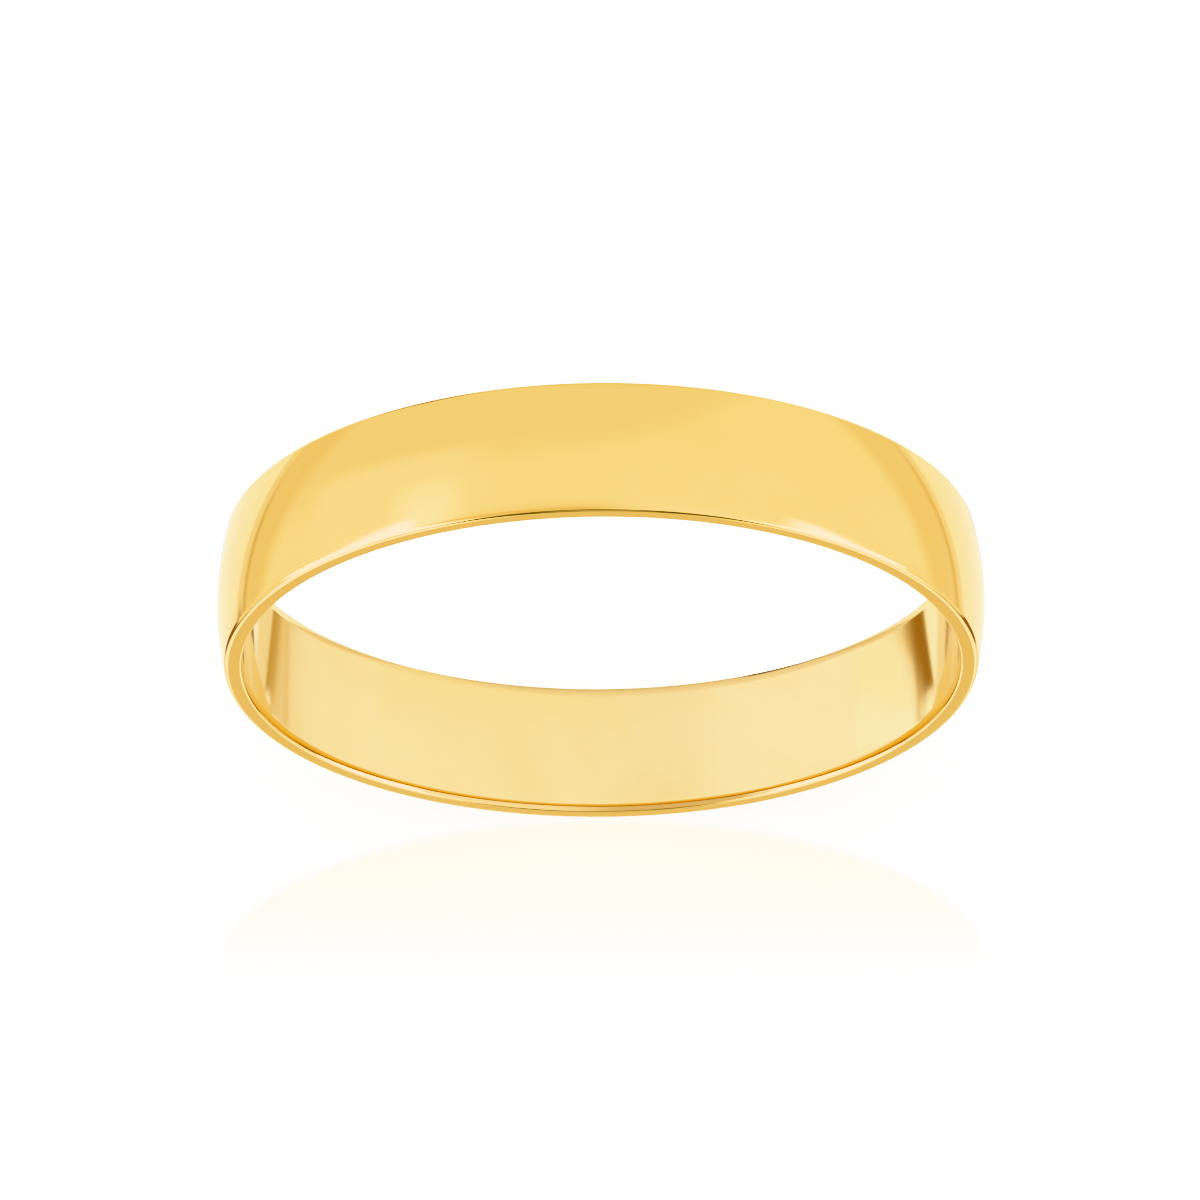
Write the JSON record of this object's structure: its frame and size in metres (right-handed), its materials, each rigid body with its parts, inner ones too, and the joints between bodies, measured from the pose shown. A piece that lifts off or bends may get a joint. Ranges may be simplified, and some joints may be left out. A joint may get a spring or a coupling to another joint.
{
  "type": "wedding band",
  "caption": "Plain mirror-polished wedding band with a low domed outside, flat bore, narrow flat side faces and eased edges.",
  "frame": {"origin": "centre of the finger hole, midway between the two side faces", "axes": "+Y along the finger through the hole, +Z towards the top of the ring as it stands on its edge, +X across; the band is the same all the way round its axis"},
  "size_m": [0.0222, 0.004, 0.0222],
  "materials": {
    "yellow_gold": "mirror-polished yellow gold, softer polish inside the bore"
  },
  "bodies": {
    "root": {"band": "yellow_gold"}
  },
  "joints": []
}
